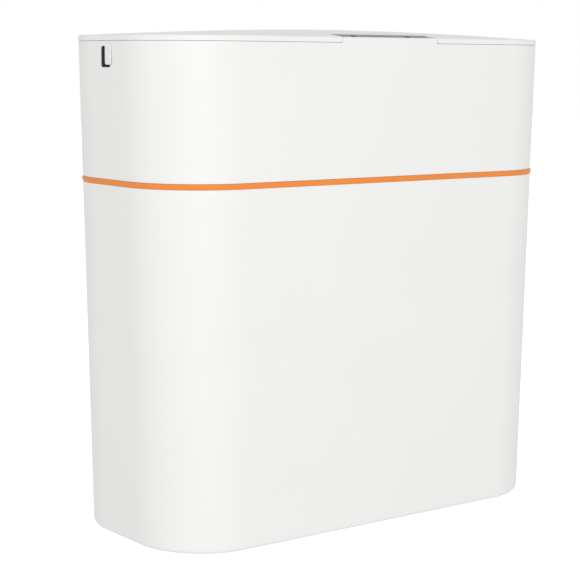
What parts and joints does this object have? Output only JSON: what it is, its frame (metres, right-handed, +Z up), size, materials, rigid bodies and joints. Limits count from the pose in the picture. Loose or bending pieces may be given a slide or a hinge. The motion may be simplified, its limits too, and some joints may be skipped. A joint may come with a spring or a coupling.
{
  "type": "trash compactor",
  "caption": "Slim household trash compactor: a lift-off bin with a hinged lid whose battery drive swings a press plate down on the rubbish.",
  "frame": {"origin": "middle of the footprint, on the surface that the feet stand on", "axes": "+X to the right along the long side, -Y towards the front with the opening button, +Z up"},
  "size_m": [0.3328, 0.1459, 0.329],
  "materials": {
    "white_gloss": "smooth moulded, satin gloss",
    "orange_gloss": "smooth moulded",
    "grey_satin": "satin",
    "dark_plastic": "fine texture",
    "press_grey": "fine texture",
    "steel": "brushed",
    "rubber": "matt",
    "nylon": "natural nylon",
    "cell_wrap": "shrink wrap",
    "board": "solder mask"
  },
  "bodies": {
    "bin": {"lower_bin": "white_gloss", "foot_front_left": "rubber", "foot_front_right": "rubber", "foot_back_left": "rubber", "foot_back_right": "rubber"},
    "ring": {"bag_ring": "orange_gloss"},
    "head": {"upper_housing": "white_gloss", "button_shelf": "dark_plastic", "button_spring": "steel", "latch_pin": "steel", "switch_body": "dark_plastic", "hinge_pin_left": "steel", "hinge_pin_right": "steel"},
    "lid": {"lid": "white_gloss", "lid_striker": "steel", "drive_tray": "press_grey", "tray_screw_front_left": "steel", "tray_screw_front_right": "steel", "tray_screw_back_left": "steel", "tray_screw_back_right": "steel", "gear_motor": "steel", "motor_clamp": "steel", "battery_cell_front": "cell_wrap", "battery_cell_back": "cell_wrap", "cell_cradle": "dark_plastic", "control_board": "board", "board_stand_1": "nylon", "board_stand_2": "nylon", "board_stand_3": "nylon", "board_stand_4": "nylon"},
    "button": {"open_button": "grey_satin", "button_lens_left": "dark_plastic", "button_lens_right": "dark_plastic"},
    "latch": {"latch_lever": "nylon"},
    "switch": {"switch_slider": "white_gloss"},
    "drive": {"drive_shaft": "steel", "shaft_gear": "nylon", "drive_link_front": "steel", "drive_link_back": "steel"},
    "idler": {"idler_shaft": "steel", "idler_link_front": "steel", "idler_link_back": "steel"},
    "pinion": {"motor_pinion": "nylon"},
    "press": {"press_plate": "press_grey", "plate_pin_front_left": "steel", "plate_pin_front_right": "steel", "plate_pin_back_left": "steel", "plate_pin_back_right": "steel"}
  },
  "joints": [
    {"name": "ring_lift", "type": "slide", "parent": "bin", "child": "ring", "axis": [0, 0, 1], "range_m": [0, 0.12]},
    {"name": "head_lift", "type": "slide", "parent": "ring", "child": "head", "axis": [0, 0, 1], "range_m": [0, 0.12]},
    {"name": "lid_hinge", "type": "hinge", "parent": "head", "child": "lid", "pos_m": [0, 0.0712, 0.3232], "axis": [-1, 0, 0], "range_deg": [0, 100]},
    {"name": "button_press", "type": "slide", "parent": "head", "child": "button", "axis": [0, 0, -1], "range_m": [0, 0.0012], "stiffness_N_per_m": 900, "springref_m": -0.0012, "deforming": ["button_spring"]},
    {"name": "latch_tilt", "type": "hinge", "parent": "head", "child": "latch", "pos_m": [0.004, -0.0625, 0.301], "axis": [1, 0, 0], "range_deg": [0, 15]},
    {"name": "switch_slide", "type": "slide", "parent": "head", "child": "switch", "axis": [0, 0, -1], "range_m": [0, 0.0022]},
    {"name": "press_drive", "type": "hinge", "parent": "lid", "child": "drive", "pos_m": [-0.1, 0, 0.3062], "axis": [0, 1, 0], "range_deg": [0, 38]},
    {"name": "press_idler", "type": "hinge", "parent": "lid", "child": "idler", "pos_m": [-0.022, 0, 0.3062], "axis": [0, 1, 0], "range_deg": [0, 38]},
    {"name": "plate_level", "type": "hinge", "parent": "drive", "child": "press", "pos_m": [0.02813, 0, 0.2842], "axis": [0, -1, 0], "range_deg": [0, 38]},
    {"name": "pinion_spin", "type": "hinge", "parent": "lid", "child": "pinion", "pos_m": [-0.08285, 0, 0.3062], "axis": [0, -1, 0], "range_deg": [0, 91.2]}
  ],
  "couplings": [
    {"joint": "latch_tilt", "follows": "button_press", "rad_per_m": 218.17},
    {"joint": "press_idler", "follows": "press_drive", "ratio": 1},
    {"joint": "plate_level", "follows": "press_drive", "ratio": 1},
    {"joint": "pinion_spin", "follows": "press_drive", "ratio": 2.4}
  ]
}
